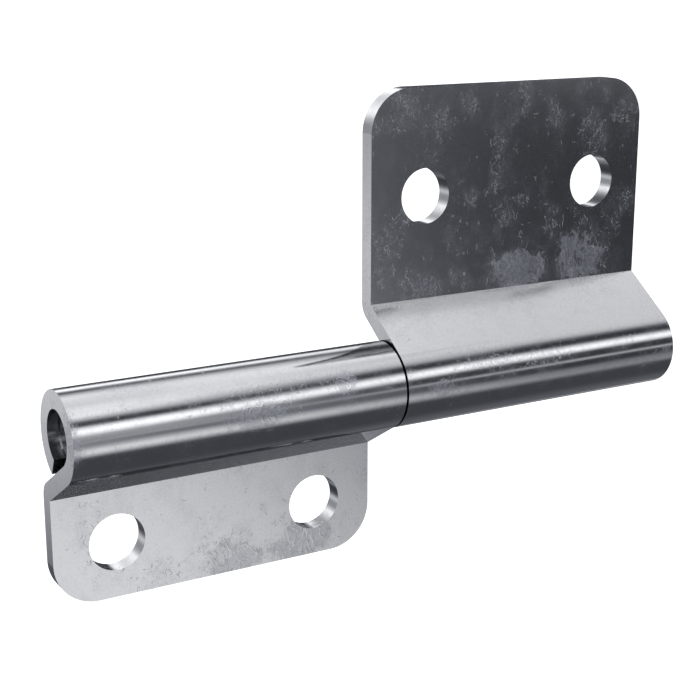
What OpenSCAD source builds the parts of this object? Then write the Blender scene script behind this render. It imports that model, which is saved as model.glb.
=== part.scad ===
// Slip hinge, opened flat: two curled leaves of folded sheet steel on one plain pin.
// The hinge line is the Z axis. The male leaf is the lower one and reaches towards +X.
// The female leaf stands on it, reaches towards -X and lifts off upwards.
// Both leaves are screwed down with their back faces, which look towards +Y.

/* [Sheet] */
// Thickness of the sheet that both leaves are folded from
sheet = 2; // [1.5:0.1:3]
// Length of each leaf along the hinge line
leaf_l = 38.4; // [34:0.1:80]
// Space between the end faces of the two barrels
barrel_gap = 0.3; // [0.1:0.05:1]

/* [Barrel] */
// Inside diameter of the curled barrels
bore_d = 6; // [5:0.1:8]
// Slot left between the curl's free edge and the back of its joggle
curl_gap = 0.25; // [0.1:0.05:1]

/* [Joggle] */
// Angle at which the female leaf leaves its barrel, measured from its plate
female_joggle = 59; // [45:1:75]
// Angle at which the male leaf leaves its barrel, measured from its plate
male_joggle = 55; // [45:1:75]
// Outside radius of the bend between joggle and plate; its inside corner is sharp
bend_r = 2.2; // [0.5:0.1:3]
// Distance by which the back faces stand behind the barrels
back_clear = 0.4; // [0:0.1:1.5]

/* [Plates] */
// Height of the female leaf, from the hinge line to its free edge
female_h = 20.2; // [19:0.1:40]
// Height of the male leaf, from the hinge line to its free edge
male_h = 32.7; // [26:0.1:60]
// Radius of the plates' free corners
corner_r = 5; // [1:0.5:8]

/* [Screw holes] */
// Diameter of the screw holes
hole_d = 6.4; // [4:0.1:8]
// Distance between the two holes of a leaf, along the hinge line
hole_spacing = 24; // [16:0.1:28]
// Distance of the female leaf's holes from the hinge line
female_hole_h = 13.9; // [13:0.1:16]
// Distance of the male leaf's holes from the hinge line
male_hole_h = 20.4; // [14:0.1:28]

/* [Pin] */
// Radial clearance between the pin and the barrels
pin_clear = 0.05; // [0.01:0.01:0.1]
// Depth of the pin's free end inside the mouth of the female barrel
pin_recess = 1.3; // [0:0.1:5]
// Depth of the pin's other end inside the mouth of the male barrel
pin_foot_recess = 0.8; // [0:0.1:5]
// Chamfer on both ends of the pin
pin_chamfer = 0.3; // [0.1:0.1:1]

/* [Hidden] */
$fn = 96;

bore_r = bore_d / 2;
barrel_r = bore_r + sheet;
// Angle between the foot of the joggle and the free edge of the curl, seen from the hinge line
curl_open = acos((bore_r - curl_gap) / barrel_r);
// Height of the back faces behind the hinge line
back_y = barrel_r + back_clear;
// The pin's two ends
pin_top = barrel_gap / 2 + leaf_l - pin_recess;
pin_foot = -barrel_gap / 2 - leaf_l + pin_foot_recess;
pin_r = bore_r - pin_clear;
// Length by which the folded sheet is longer at either end before it is sheared square
spare = 0.5;
blank_l = leaf_l + 2 * spare;
// How far a cut reaches past the face that it cuts
over = 1;
// How far a round stands outside the faces that it blends into
blend = 0.001;

// A place in a leaf's section where two lines meet: one runs beside the joggle at depth d from
// the hinge line, and the other lies at height y
function meet(angle, d, y) = [(d + y * cos(angle)) / sin(angle), y];

// Centre of the round on the outside of the bend
function round_centre(angle) = meet(angle, bore_r + bend_r, back_y - bend_r);

// Curl that starts at the foot of the joggle and runs round the front to its free edge
module curl(angle) {
  rotate([0, 0, angle])
    mirror([1, 0, 0])
      rotate([0, 0, -90])
        rotate_extrude(angle = 360 - curl_open)
          translate([bore_r, -spare])
            square([sheet, blank_l]);
}

// Straight stretch of sheet, tangent to the barrel, that reaches the back of the plate
module joggle(angle) {
  heel = meet(angle, bore_r, back_y);
  rotate([0, 0, angle])
    translate([0, -barrel_r, -spare])
      cube([sqrt(norm(heel) ^ 2 - bore_r ^ 2), sheet, blank_l]);
}

// Sharp outside of the bend, past its round
module bend_waste(angle) {
  reach = bend_r + over;
  heel_side = reach * tan(angle / 2);
  translate([round_centre(angle).x, round_centre(angle).y, -over])
    linear_extrude(leaf_l + 2 * over)
      difference() {
        polygon([
          [0, 0],
          [0, reach],
          [-heel_side, reach],
          [-reach * sin(angle), reach * cos(angle)]
        ]);
        circle(bend_r + blend);
      }
}

// Square outside a quarter circle that rounds off the corner at the origin
module corner_waste() {
  difference() {
    translate([-corner_r, -corner_r])
      square(corner_r + over);
    translate([-corner_r, -corner_r])
      circle(corner_r + blend);
  }
}

// Plate from inside the bend to its free edge, with a pair of screw holes and two round corners
module plate(start, height, hole_h) {
  difference() {
    translate([start, back_y - sheet, -spare])
      cube([height - start, sheet, blank_l]);
    translate([0, back_y + over, leaf_l / 2])
      rotate([90, 0, 0])
        linear_extrude(sheet + 2 * over)
          for (side = [0, 1])
            mirror([0, side]) {
              translate([hole_h, hole_spacing / 2])
                circle(d = hole_d);
              translate([height, leaf_l / 2])
                corner_waste();
            }
  }
}

// One leaf, folded and sheared to length, on the XY plane with its plate towards +X
module leaf(angle, height, hole_h) {
  intersection() {
    difference() {
      union() {
        curl(angle);
        joggle(angle);
        plate(meet(angle, bore_r, back_y).x, height, hole_h);
      }
      bend_waste(angle);
    }
    translate([-barrel_r - over, -barrel_r - over, 0])
      cube([barrel_r + height + 2 * over, barrel_r + back_y + 2 * over, leaf_l]);
  }
}

// Lower leaf, which holds the pin
module male_leaf() {
  color("silver")
    translate([0, 0, -barrel_gap / 2 - leaf_l])
      leaf(male_joggle, male_h, male_hole_h);
}

// Upper leaf, which slips off the pin; it is folded like the other and turned over
module female_leaf() {
  color("lightgray")
    translate([0, 0, barrel_gap / 2 + leaf_l])
      rotate([0, 180, 0])
        leaf(female_joggle, female_h, female_hole_h);
}

// Plain pin with chamfered ends, through both barrels
module pin() {
  color("gray")
    rotate_extrude()
      polygon([
        [0, pin_foot],
        [pin_r - pin_chamfer, pin_foot],
        [pin_r, pin_foot + pin_chamfer],
        [pin_r, pin_top - pin_chamfer],
        [pin_r - pin_chamfer, pin_top],
        [0, pin_top]
      ]);
}

male_leaf();
female_leaf();
pin();
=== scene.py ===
import bpy
from mathutils import Matrix, Vector


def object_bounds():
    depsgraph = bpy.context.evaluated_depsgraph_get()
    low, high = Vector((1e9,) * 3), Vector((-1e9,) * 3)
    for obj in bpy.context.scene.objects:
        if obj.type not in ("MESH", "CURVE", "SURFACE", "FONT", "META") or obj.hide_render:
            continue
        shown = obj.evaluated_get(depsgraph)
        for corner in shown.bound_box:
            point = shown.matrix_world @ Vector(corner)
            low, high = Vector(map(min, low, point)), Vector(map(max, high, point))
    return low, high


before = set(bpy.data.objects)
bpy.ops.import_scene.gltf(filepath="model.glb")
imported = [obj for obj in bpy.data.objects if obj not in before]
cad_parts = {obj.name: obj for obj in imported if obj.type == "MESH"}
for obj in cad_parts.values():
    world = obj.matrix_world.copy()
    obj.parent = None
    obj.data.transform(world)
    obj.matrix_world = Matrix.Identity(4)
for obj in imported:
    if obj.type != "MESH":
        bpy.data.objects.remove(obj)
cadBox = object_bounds()
mm = 0.001
print("frame loaded:", ", ".join(sorted(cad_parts)))


# Colours and nodes

def toLinear(hexColour):
    # sRGB byte c / 255 = s becomes s / 12.92 below 0.04045, and ((s + 0.055) / 1.055) ^ 2.4 above
    s = [int(hexColour[i:i + 2], 16) / 255 for i in (1, 3, 5)]
    return tuple(v / 12.92 if v < 0.04045 else ((v + 0.055) / 1.055) ** 2.4 for v in s) + (1.0,)


def addNode(tree, kind, settings=None, **inputs):
    # one node with its properties, socket values and links; s0, s1 ... name a socket by its
    # position, and an underscore stands for a space in a socket's name
    node = tree.nodes.new(kind)
    for name, value in (settings or {}).items():
        setattr(node, name, value)
    for name, value in inputs.items():
        byPosition = name[0] == "s" and name[1:].isdigit()
        socket = node.inputs[int(name[1:]) if byPosition else name.replace("_", " ")]
        if isinstance(value, bpy.types.NodeSocket):
            tree.links.new(value, socket)
        else:
            socket.default_value = value
    return node


# kinds of node, and settings of theirs, that come up often
calc = "ShaderNodeMath"
vectorCalc = "ShaderNodeVectorMath"
mapRange = "ShaderNodeMapRange"
noise = "ShaderNodeTexNoise"
multiply = {"operation": "MULTIPLY"}
multiplyAdd = {"operation": "MULTIPLY_ADD"}
subtract = {"operation": "SUBTRACT"}
largest = {"operation": "MAXIMUM"}
pingPong = {"operation": "PINGPONG"}
vectorLength = {"operation": "LENGTH"}
smooth = {"interpolation_type": "SMOOTHSTEP"}
white = (1.0, 1.0, 1.0, 1.0)


def rayKinds(tree):
    # 1 for a ray straight from the camera; 1 for one from a mirroring or clear surface, which is
    # the larger of Is Glossy Ray and Is Transmission Ray
    path = addNode(tree, "ShaderNodeLightPath")
    mirrored = addNode(tree, calc, largest, s0=path.outputs["Is Glossy Ray"],
                       s1=path.outputs["Is Transmission Ray"])
    return path.outputs["Is Camera Ray"], mirrored.outputs[0]


# Camera: the photograph's own place and lens, found by fitting the hinge's edges

cameraSet = {
    "place": (46.58, -134.789, 82.597),
    "forward": (-0.26009, 0.83557, -0.48391),
    "top": (0.96558, 0.22563, -0.12938),
    "lens": 74.83,
    "sensor": 36,
    "nearest": 5,  # anything nearer isn't drawn
}


def makeCamera(values):
    # columns of the camera's matrix: right = forward x top, top, -forward, place
    forward = Vector(values["forward"]).normalized()
    right = forward.cross(Vector(values["top"])).normalized()
    top = right.cross(forward)
    place = Vector(values["place"]) * mm
    data = bpy.data.cameras.new("camera")
    data.lens = values["lens"]
    data.sensor_width = values["sensor"]
    data.clip_start = values["nearest"] * mm
    camera = bpy.data.objects.new("camera", data)
    bpy.context.scene.collection.objects.link(camera)
    camera.matrix_world = Matrix((
        (right.x, top.x, -forward.x, place.x),
        (right.y, top.y, -forward.y, place.y),
        (right.z, top.z, -forward.z, place.z),
        (0, 0, 0, 1),
    ))
    bpy.context.scene.camera = camera


makeCamera(cameraSet)
bpy.context.scene.view_settings.view_transform = "Standard"
print("camera set")


# Studio: a grey room with tall soft boxes round the hinge, which the metal mirrors. Azimuth is
# counted about the hinge line from the front, -Y, towards +X. A box has one level above the
# horizon, one just below it and one lower down, and leans sideways with depth. A negative level
# is a dark screen, which takes light away.

studio = {
    "room": 0.136,  # level between the boxes
    "roomTint": "#e9eeff",
    "lampTint": "#fbfcff",
    "lampLevel": 1.2,  # level at which a box has the lamp's own tint
    "boxes": [
        # azimuth, half width, softness, level above, near and low, lean
        (155.4, 7.2, 10.3, 1.79, 3.00, 2.00, -5.3),  # rim light behind the tall plate
        (74.7, 22.4, 15.9, 0.55, 2.00, 1.05, 13.3),  # broad box beside it
        (23.8, 5.6, 10.8, 0.74, 2.43, 2.64, 6.3),  # narrow key light
        (18.4, 18.1, 4.9, 0.00, 0.50, -0.05, -40.1),  # weak fill round the key light
        (2.9, 0.5, 4.4, 0.00, -0.46, 1.03, -4.0),  # slot in the middle of the front
        (-10.0, 3.7, 4.3, 0.00, 0.34, -0.18, -21.5),
        (0.0, 5.6, 6.8, 0.00, 0.56, -0.52, 13.3),
        (-25.3, 4.0, 14.1, 0.18, 1.69, 0.64, -7.7),  # front box on the side of the short plate
        (-121.9, 15.0, 16.8, -0.40, 0.10, 0.11, 11.6),
        (-165.1, 6.0, 6.4, 0.62, -0.60, 0.98, -14.3),  # behind: light high up and low down
        (171.6, 28.8, 9.1, 0.55, -0.42, -0.60, -1.9),  # behind: wide and dark below the horizon
        (-117.4, 5.5, 6.2, 0.01, -0.30, -0.26, -26.5),
        (163.1, 2.7, 3.7, -0.37, -0.60, -0.60, 5.3),  # dark edge of the rim light
        (44.7, 12.6, 2.7, 0.00, -0.32, 0.31, 32.6),
        (114.5, 13.1, 14.9, 0.13, 1.88, 1.31, -2.6),  # second broad box, farther back
        (-142.1, 1.6, 2.6, 0.14, 0.86, 0.95, 8.6),
        (56.2, 6.3, 7.2, 0.00, 0.53, -0.60, -5.0),
        (86.9, 5.5, 8.2, 0.00, -0.23, 0.48, -36.8),
    ],
    "aboveSine": (-0.05, 0.25),  # sines of elevation between which the level above takes over
    "lowSine": (-0.30, -0.62),  # and the low one
    "darkest": 0.085,  # no screen is darker than this
    "plain": 0.55,  # light that the room gives to what isn't metal
}


def makeWorld(values):
    # level = room + sum of box * (near + (above - near) * rise + (low - near) * depth), where box
    # is a smooth step on the distance in azimuth from the box's middle, centre + lean * depth,
    # which falls from half width - softness, but not below 0, to half width + softness
    world = bpy.data.worlds.new("studio")
    bpy.context.scene.world = world
    world.use_nodes = True
    tree = world.node_tree
    tree.nodes.clear()
    seenAt = addNode(tree, "ShaderNodeTexCoord").outputs["Generated"]
    direction = addNode(tree, "ShaderNodeSeparateXYZ", Vector=seenAt)
    front = addNode(tree, calc, multiply, s0=direction.outputs["Y"], s1=-1.0)
    turn = addNode(tree, calc, {"operation": "ARCTAN2"}, s0=direction.outputs["X"],
                   s1=front.outputs[0])
    azimuth = addNode(tree, calc, {"operation": "DEGREES"}, s0=turn.outputs[0])
    rise, depth = [
        addNode(tree, mapRange, smooth, Value=direction.outputs["Z"], From_Min=start,
                From_Max=end).outputs[0]
        for start, end in (values["aboveSine"], values["lowSine"])
    ]
    halfTurn = 180.0
    level = values["room"]
    for centre, half, soft, above, near, low, lean in values["boxes"]:
        sunk = addNode(tree, calc, multiplyAdd, s0=depth, s1=low - near, s2=near)
        own = addNode(tree, calc, multiplyAdd, s0=rise, s1=above - near, s2=sunk.outputs[0])
        middle = addNode(tree, calc, multiplyAdd, s0=depth, s1=lean, s2=centre)
        away = addNode(tree, calc, subtract, s0=azimuth.outputs[0], s1=middle.outputs[0])
        distance = addNode(tree, calc, pingPong, s0=away.outputs[0], s1=halfTurn)
        box = addNode(tree, mapRange, smooth, Value=distance.outputs[0], From_Min=half + soft,
                      From_Max=max(half - soft, 0.0))
        level = addNode(tree, calc, multiplyAdd, s0=box.outputs[0], s1=own.outputs[0],
                        s2=level).outputs[0]
    shown = addNode(tree, calc, largest, s0=level, s1=values["darkest"])
    lampShare = addNode(tree, calc, dict(multiply, use_clamp=True), s0=shown.outputs[0],
                        s1=1 / values["lampLevel"])
    tint = addNode(tree, "ShaderNodeMix", {"data_type": "RGBA"}, Factor=lampShare.outputs[0],
                   s6=toLinear(values["roomTint"]), s7=toLinear(values["lampTint"]))
    boxes = addNode(tree, "ShaderNodeBackground", Color=tint.outputs[2], Strength=shown.outputs[0])
    plain = addNode(tree, "ShaderNodeBackground", Color=white, Strength=values["plain"])
    backdrop = addNode(tree, "ShaderNodeBackground", Color=white, Strength=1.0)
    fromCamera, mirrored = rayKinds(tree)
    lit = addNode(tree, "ShaderNodeMixShader", s0=mirrored, s1=plain.outputs[0],
                  s2=boxes.outputs[0])
    seen = addNode(tree, "ShaderNodeMixShader", s0=fromCamera, s1=lit.outputs[0],
                   s2=backdrop.outputs[0])
    addNode(tree, "ShaderNodeOutputWorld", Surface=seen.outputs[0])


makeWorld(studio)
print("studio built")


# Floor and lamp

floorSet = {
    "gap": 0.05,  # below the lower end of the hinge
    "half": 1500,  # half of its width
    "paper": "#e9e9e9",
    "glow": 0.72,  # share of white that the camera sees without any light
    "lampPlace": (220, -260, 520),
    "lampSize": 420,
    "lampWatts": 2.2,
}


def makeFloor(values):
    # a square sheet of white paper under the hinge: diffuse paint, which takes the shadow, plus
    # an even glow times Is Camera Ray; mirrored rays pass through it to the studio
    z = cadBox[0].z - values["gap"] * mm
    h = values["half"] * mm
    mesh = bpy.data.meshes.new("floor")
    mesh.from_pydata([(-h, -h, z), (h, -h, z), (h, h, z), (-h, h, z)], [], [(0, 1, 2, 3)])
    floor = bpy.data.objects.new("floor", mesh)
    bpy.context.scene.collection.objects.link(floor)
    material = bpy.data.materials.new("white_paper_floor")
    material.use_nodes = True
    tree = material.node_tree
    tree.nodes.clear()
    fromCamera, mirrored = rayKinds(tree)
    paper = addNode(tree, "ShaderNodeBsdfDiffuse", Color=toLinear(values["paper"]))
    glowing = addNode(tree, calc, multiply, s0=fromCamera, s1=values["glow"])
    glow = addNode(tree, "ShaderNodeEmission", Color=white, Strength=glowing.outputs[0])
    shown = addNode(tree, "ShaderNodeAddShader", s0=paper.outputs[0], s1=glow.outputs[0])
    clear = addNode(tree, "ShaderNodeBsdfTransparent")
    surface = addNode(tree, "ShaderNodeMixShader", s0=mirrored, s1=shown.outputs[0],
                      s2=clear.outputs[0])
    addNode(tree, "ShaderNodeOutputMaterial", Surface=surface.outputs[0])
    mesh.materials.append(material)


def makeLamp(values):
    # a square soft lamp, up in front on the side of the tall plate; its -Z looks at the origin
    data = bpy.data.lights.new("soft_lamp", "AREA")
    data.shape = "SQUARE"
    data.size = values["lampSize"] * mm
    data.energy = values["lampWatts"]
    lamp = bpy.data.objects.new("soft_lamp", data)
    bpy.context.scene.collection.objects.link(lamp)
    lamp.location = Vector(values["lampPlace"]) * mm
    lamp.rotation_mode = "QUATERNION"
    lamp.rotation_quaternion = (-lamp.location).to_track_quat("-Z", "Y")


makeFloor(floorSet)
makeLamp(floorSet)
print("floor and lamp placed")


# Zinc-plated sheet steel: rolled, folded, electroplated, blue-passivated and handled. The plating
# is a soft mirror with a frost in cloudy patches, in flecks, along fine curled wipe marks and in
# wrinkled stains, so that a dark reflection turns milky there and a bright one loses its edge.

zincSet = {
    "colour": "#a6a6a7",
    "frost": "#a2a6ae",  # the roughened skin inside a stain, a little bluer
    "bright": 0.12,  # roughness of the clean plating
    "blur": 0.16,  # how much rougher it is under full frost
    "dull": 0.55,  # roughness of the frost
    "seed": 0.0,  # moves the pattern, so that no two pieces are alike
    "shift": (1.0, 0.7, 1.3),  # by this much along x, y and z, m
    "stretch": (0.75, 1.0, 1.0),  # marks run along the sheet's rolling direction
    # size in mm, detail, roughness, twist and window of the noise that says where wear is dense
    "density": (5.5, 4.0, 0.58, 0.3, 0.44, 0.72),
    "clouds": {
        # the same, and how much the density lifts the noise
        "mottle": (2.8, 6.0, 0.72, 0.2, 0.45, 0.76, 0.12),
        "flecks": (0.42, 3.0, 0.70, 0.3, 0.60, 0.92, 0.16),
        "breaks": (0.9, 2.0, 0.6, 0.0, 0.62, 0.72, 0.14),
    },
    "lines": {
        # size in mm, twist, contour lines in a unit of noise, half width
        "curls": (0.9, 1.0, 2.0, 0.035),
        "wrinkles": (2.4, 1.6, 4.0, 0.17),
    },
    "lineDetail": 1.0,
    "lineCore": 0.2,  # part of a line's width that is at full strength
    "grain": 0.20,  # crystals, mm; real ones are finer, these are as fine as the picture shows
    "share": {"mottle": 0.13, "flecks": 0.25, "curls": 0.10, "stain": 0.24, "grain": 0.21},
    "base": 0.02,  # frost on the clean plating
    "fold": 0.7,  # part of a stain's frost that is missing in its wrinkles
    "relief": 0.005,  # height of the wipe marks and wrinkles, mm
    "edge": (2.2, 6.0, 0.62),  # size in mm, detail and roughness of the noise on a place's edge
    "ragged": 2.2,  # how far that edge wanders, in parts of the place's size
    "stains": (),  # places x, y, z and half sizes, mm
    "worn": (),  # the same for places that only carry more flecks and curls
    "nowhere": -3.0,  # depth inside a place that stands for being in none
    "windows": {
        # places, and the depths inside them, in parts of their size, between which it sets in
        "stain": ("stains", 0.10, 0.24),
        "halo": ("stains", -0.60, 0.15),
        "wear": ("worn", -0.55, 0.45),
    },
    "paintedShade": "#727377",  # painted shade: a darker colour in the bore and between the barrels, where shade falls
    "paintedShadeRadius": (4.90, 4.98),  # it thins out between these distances from the hinge line
    "paintedShadeEnd": (36.4, 37.2),  # and between these distances from the middle of the hinge
}


def zincMaterial(name, values):
    # places: stain, halo and wear = smooth step of 1 - distance from the nearest place in its
    #     half sizes + ragged * (noise - 0.5)
    # clouds: mottle, flecks and breaks = smooth step of noise + lift * dense, with dense the
    #     largest of a wide noise, halo and wear
    # lines: curls and wrinkles = narrow bands along the contour lines of a noise
    # frost = base + shares of mottle + flecks + curls * breaks + stain * (1 - fold * wrinkles)
    #     + (grain - 0.5), times 1 - painted shade mask
    # metal = mix by frost of a mirror, rougher by blur * frost and darkened by the painted shade
    # mask, and a dull skin
    material = bpy.data.materials.new(name)
    material.use_nodes = True
    tree = material.node_tree
    tree.nodes.clear()
    place = addNode(tree, "ShaderNodeTexCoord").outputs["Object"]
    where = addNode(tree, "ShaderNodeMapping", Vector=place, Scale=values["stretch"],
                    Location=[values["seed"] * part for part in values["shift"]]).outputs[0]
    field = {}

    size, detail, rough = values["edge"]
    edge = addNode(tree, noise, Vector=where, Scale=1 / (size * mm), Detail=detail, Roughness=rough)
    mean = 0.5  # of any noise
    drift = mean * values["ragged"]
    for key, (source, low, high) in values["windows"].items():
        deepest = values["nowhere"]
        for x, y, z, halfX, halfY, halfZ in values[source]:
            away = addNode(tree, vectorCalc, subtract, s0=place, s1=(x * mm, y * mm, z * mm))
            scaled = addNode(tree, vectorCalc, {"operation": "DIVIDE"}, s0=away.outputs[0],
                             s1=(halfX * mm, halfY * mm, halfZ * mm))
            distance = addNode(tree, vectorCalc, vectorLength, s0=scaled.outputs[0])
            inside = addNode(tree, calc, subtract, s0=1.0, s1=distance.outputs["Value"])
            deepest = addNode(tree, calc, largest, s0=deepest, s1=inside.outputs[0]).outputs[0]
        ragged = addNode(tree, calc, multiplyAdd, s0=edge.outputs["Fac"], s1=values["ragged"],
                         s2=deepest)
        field[key] = addNode(tree, mapRange, smooth, Value=ragged.outputs[0],
                             From_Min=drift + low, From_Max=drift + high).outputs[0]

    size, detail, rough, twist, low, high = values["density"]
    raw = addNode(tree, noise, Vector=where, Scale=1 / (size * mm), Detail=detail,
                  Roughness=rough, Distortion=twist)
    spread = addNode(tree, mapRange, smooth, Value=raw.outputs["Fac"], From_Min=low, From_Max=high)
    marked = addNode(tree, calc, largest, s0=field["halo"], s1=field["wear"])
    dense = addNode(tree, calc, largest, s0=spread.outputs[0], s1=marked.outputs[0]).outputs[0]
    for key, (size, detail, rough, twist, low, high, lift) in values["clouds"].items():
        raw = addNode(tree, noise, Vector=where, Scale=1 / (size * mm), Detail=detail,
                      Roughness=rough, Distortion=twist)
        lifted = addNode(tree, calc, multiplyAdd, s0=dense, s1=lift, s2=raw.outputs["Fac"])
        field[key] = addNode(tree, mapRange, smooth, Value=lifted.outputs[0], From_Min=low,
                             From_Max=high).outputs[0]
    for key, (size, twist, count, width) in values["lines"].items():
        raw = addNode(tree, noise, Vector=where, Scale=1 / (size * mm),
                      Detail=values["lineDetail"], Distortion=twist)
        many = addNode(tree, calc, multiply, s0=raw.outputs["Fac"], s1=count)
        offLine = addNode(tree, calc, pingPong, s0=many.outputs[0], s1=mean)
        field[key] = addNode(tree, mapRange, smooth, Value=offLine.outputs[0], From_Min=width,
                             From_Max=width * values["lineCore"]).outputs[0]
    grain = addNode(tree, noise, Vector=where, Scale=1 / (values["grain"] * mm), Detail=0.0)

    # painted shade: within these distances, in the bore, on the pin and between the barrels, the
    # plating is painted darker and keeps less frost, where shade falls
    # distance from the hinge line and from the middle of the hinge, each faded over its window
    fades = []
    limits = (((1, 1, 0), values["paintedShadeRadius"]), ((0, 0, 1), values["paintedShadeEnd"]))
    for axes, (start, end) in limits:
        kept = addNode(tree, vectorCalc, multiply, s0=place, s1=axes)
        distance = addNode(tree, vectorCalc, vectorLength, s0=kept.outputs[0])
        fades.append(addNode(tree, mapRange, Value=distance.outputs["Value"], From_Min=end * mm,
                             From_Max=start * mm).outputs[0])
    paintedShadeMask = addNode(tree, calc, multiply, s0=fades[0], s1=fades[1]).outputs[0]

    curls = addNode(tree, calc, multiply, s0=field["curls"], s1=field["breaks"]).outputs[0]
    flatPart = addNode(tree, calc, multiplyAdd, s0=field["wrinkles"], s1=-values["fold"], s2=1.0)
    stain = addNode(tree, calc, multiply, s0=field["stain"], s1=flatPart.outputs[0]).outputs[0]
    shares = values["share"]
    frost = values["base"] - mean * shares["grain"]
    for key, part in (("mottle", field["mottle"]), ("flecks", field["flecks"]), ("curls", curls),
                      ("stain", stain), ("grain", grain.outputs["Fac"])):
        frost = addNode(tree, calc, multiplyAdd, s0=part, s1=shares[key], s2=frost).outputs[0]
    unshaded = addNode(tree, calc, subtract, s0=1.0, s1=paintedShadeMask)
    frosted = addNode(tree, calc, dict(multiply, use_clamp=True), s0=frost,
                      s1=unshaded.outputs[0]).outputs[0]

    raised = addNode(tree, calc, multiplyAdd, s0=field["wrinkles"], s1=field["stain"], s2=curls)
    relief = addNode(tree, "ShaderNodeBump", Height=raised.outputs[0], Strength=1.0,
                     Distance=values["relief"] * mm).outputs[0]
    # painted shade: the plating's colour turns to the painted shade colour inside the mask
    tint = addNode(tree, "ShaderNodeMix", {"data_type": "RGBA"}, Factor=paintedShadeMask,
                   s6=toLinear(values["colour"]), s7=toLinear(values["paintedShade"]))
    blurred = addNode(tree, calc, multiplyAdd, s0=frosted, s1=values["blur"], s2=values["bright"])
    bright = addNode(tree, "ShaderNodeBsdfPrincipled", Metallic=1.0, Base_Color=tint.outputs[2],
                     Roughness=blurred.outputs[0], Normal=relief)
    dull = addNode(tree, "ShaderNodeBsdfPrincipled", Metallic=1.0, Normal=relief,
                   Base_Color=toLinear(values["frost"]), Roughness=values["dull"])
    metal = addNode(tree, "ShaderNodeMixShader", s0=frosted, s1=bright.outputs[0],
                    s2=dull.outputs[0])
    addNode(tree, "ShaderNodeOutputMaterial", Surface=metal.outputs[0])
    return material


def dress(node, material):
    # the CAD node keeps its mesh, and this becomes its only material
    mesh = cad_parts[node].data
    mesh.materials.clear()
    mesh.materials.append(material)


# Male leaf, with the tall plate
maleSet = dict(
    zincSet,
    seed=0.31,
    stains=(
        (10.2, 3.4, -20.8, 2.8, 2.0, 4.4),  # two wrinkled stains beside the bend
        (10.8, 3.4, -30.0, 3.2, 2.0, 4.2),
        (0.3, -5.0, -4.9, 1.1, 1.2, 1.9),  # smudges on the barrel
        (0.4, -5.0, -37.4, 0.7, 1.2, 1.2),
    ),
    worn=(
        (1.7, -4.7, -18.5, 1.0, 1.2, 5.5),  # along the front of the barrel
        (1.9, -4.6, -31.0, 0.8, 1.2, 2.2),
        (28.6, 3.4, -2.5, 1.4, 1.5, 2.6),  # scattered over the front of the plate
        (14.0, 3.4, -1.8, 4.5, 1.5, 1.4),
        (9.4, 3.4, -6.5, 1.3, 1.5, 3.6),
        (30.8, 3.4, -4.4, 1.5, 1.5, 2.2),
        (28.4, 3.4, -9.6, 2.0, 1.5, 1.8),
        (30.5, 3.4, -13.1, 1.4, 1.5, 1.4),
        (28.8, 3.4, -25.4, 1.8, 1.5, 0.8),
        (26.5, 3.4, -31.5, 3.0, 1.5, 2.2),
        (28.6, 3.4, -36.0, 1.5, 1.5, 2.2),
        (23.2, 3.4, -17.3, 4.0, 1.5, 1.0),
        (19.8, 3.4, -14.4, 1.3, 1.5, 1.4),
        (18.9, 3.4, -21.1, 0.9, 1.5, 1.5),
        (17.3, 3.4, -18.3, 2.0, 1.5, 1.8),
        (17.8, 3.4, -4.0, 2.0, 1.5, 1.7),
        (14.7, 3.4, -3.6, 1.4, 1.5, 0.9),
        (17.6, 3.4, -37.3, 1.8, 1.5, 1.5),
        (14.6, 3.4, -35.6, 1.4, 1.5, 0.9),
        (16.1, 3.4, -25.6, 2.2, 1.5, 1.6),
        (10.2, 3.4, -12.5, 1.8, 1.5, 1.6),
    ),
)

# Female leaf, with the short plate, whose plating is calmer
femaleSet = dict(
    zincSet,
    seed=0.83,
    share=dict(zincSet["share"], flecks=0.22, grain=0.15),
    stains=(
        (-18.6, 3.4, 18.0, 2.6, 2.0, 4.4),  # the same pair at the free edge
        (-18.4, 3.4, 8.7, 2.8, 2.0, 4.0),
        (0.5, -5.0, 18.0, 1.5, 1.4, 3.8),  # and on the barrel
        (2.4, -4.4, 7.4, 1.5, 1.4, 1.4),
        (1.5, -4.6, 38.9, 3.5, 2.5, 1.2),  # worn rim of the open end
    ),
    worn=(
        (-12.4, 3.4, 33.8, 3.0, 1.5, 2.2),  # round the screw hole
        (-18.4, 3.4, 26.7, 1.8, 1.5, 1.9),
        (-15.2, 3.4, 20.4, 0.9, 1.5, 0.7),
        (-13.5, 3.4, 13.8, 0.9, 1.5, 0.6),
        (2.9, -4.1, 16.0, 1.3, 1.2, 10.0),  # along the front of the barrel
        (4.6, -1.8, 31.0, 1.2, 1.2, 4.0),
    ),
)

# Pin: drawn steel rod, plated too but greyer. Its painted shade is lighter, so that the rod still
# gleams where the leaf is lifted off it.
pinSet = dict(zincSet, seed=0.57, colour="#98999b", paintedShade="#88898c")

dress("male_leaf", zincMaterial("zinc_plated_male_leaf", maleSet))
dress("female_leaf", zincMaterial("zinc_plated_female_leaf", femaleSet))
dress("pin", zincMaterial("drawn_steel_pin", pinSet))
print("metal dressed")
